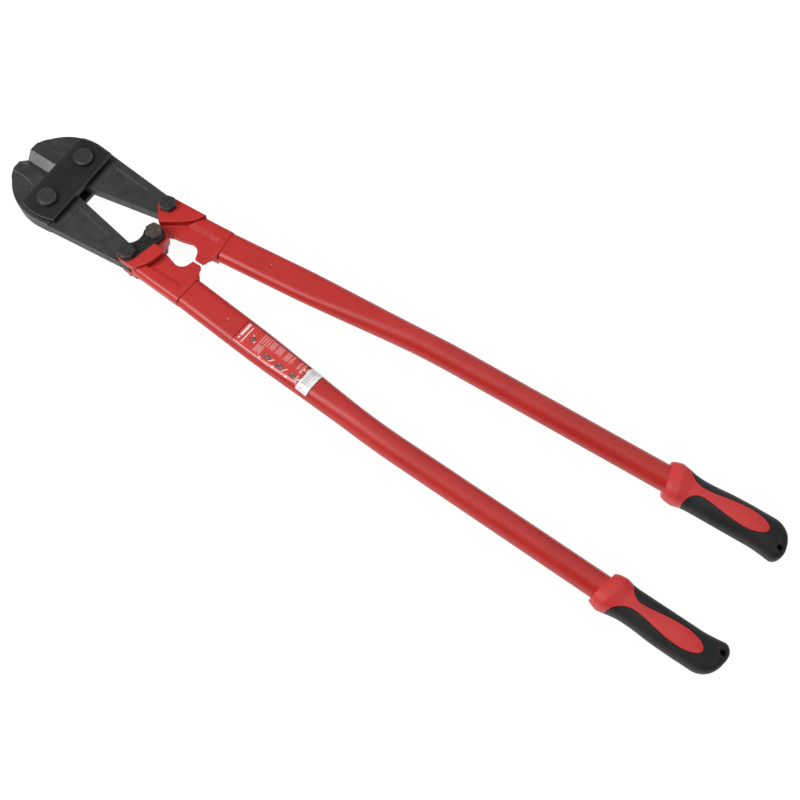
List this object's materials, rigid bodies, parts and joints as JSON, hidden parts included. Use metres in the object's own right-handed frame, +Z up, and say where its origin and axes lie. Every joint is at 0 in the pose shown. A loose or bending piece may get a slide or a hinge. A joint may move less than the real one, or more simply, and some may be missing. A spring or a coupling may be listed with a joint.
{
  "type": "bolt cutters",
  "caption": "Long-handled bolt cutters with forged jaws, double strap plates, compound lever linkage, red steel tube handles and two-part grips.",
  "frame": {"origin": "middle of the underside of the whole tool lying flat, jaws closed", "axes": "+X from the jaws to the grips, +Y towards handle A, +Z up through the pivots"},
  "size_m": [0.9144, 0.1764, 0.0449],
  "materials": {
    "forged_steel": "satin grey-black forging, ground bright at the cutting bevels",
    "black_plate": "satin black",
    "dark_fastener": "dark phosphated steel, satin",
    "red_paint": "satin red powder coat",
    "red_plastic": "matt red moulded plastic",
    "black_rubber": "matt soft-touch black",
    "label_film": null,
    "tag_paper": "pale printed tag with plain bars"
  },
  "bodies": {
    "strap": {"strap_top": "black_plate", "strap_bottom": "black_plate", "jaw_bolt_a": "dark_fastener", "jaw_bolt_b": "dark_fastener", "jaw_washer_a": "dark_fastener", "jaw_washer_b": "dark_fastener", "jaw_nut_a": "dark_fastener", "jaw_nut_b": "dark_fastener"},
    "jaw_a": {"jaw_a": "forged_steel"},
    "jaw_b": {"jaw_b": "forged_steel"},
    "handle_a": {"handle_head_a": "red_paint", "tube_a": "red_paint", "grip_core_a": "red_plastic", "grip_sleeve_a": "black_rubber", "link_bolt_a": "dark_fastener", "link_washer_a": "dark_fastener", "link_nut_a": "dark_fastener"},
    "handle_b": {"handle_head_b": "red_paint", "link_plate_top": "black_plate", "link_plate_bottom": "black_plate", "centre_bolt": "dark_fastener", "centre_washer": "dark_fastener", "centre_nut": "dark_fastener", "tube_b": "red_paint", "grip_core_b": "red_plastic", "grip_sleeve_b": "black_rubber", "link_bolt_b": "dark_fastener", "link_washer_b": "dark_fastener", "link_nut_b": "dark_fastener", "label": "label_film", "code_tag": "tag_paper"}
  },
  "joints": [
    {"name": "jaw_a_pivot", "type": "hinge", "parent": "strap", "child": "jaw_a", "pos_m": [-0.3957, 0.031, 0.025], "axis": [0, 0, -1], "range_deg": [0, 7.5]},
    {"name": "jaw_b_pivot", "type": "hinge", "parent": "strap", "child": "jaw_b", "pos_m": [-0.3957, -0.031, 0.025], "axis": [0, 0, 1], "range_deg": [0, 7.5]},
    {"name": "handle_a_pivot", "type": "hinge", "parent": "jaw_a", "child": "handle_a", "pos_m": [-0.2805, 0.0356, 0.025], "axis": [0, 0, 1], "range_deg": [0, 52]},
    {"name": "handle_b_pivot", "type": "hinge", "parent": "jaw_b", "child": "handle_b", "pos_m": [-0.2805, -0.0356, 0.025], "axis": [0, 0, -1], "range_deg": [0, 52]}
  ],
  "couplings": [
    {"joint": "jaw_a_pivot", "follows": "handle_a_pivot", "ratio": 0.143},
    {"joint": "jaw_b_pivot", "follows": "handle_a_pivot", "ratio": 0.143},
    {"joint": "handle_b_pivot", "follows": "handle_a_pivot", "ratio": 1}
  ]
}
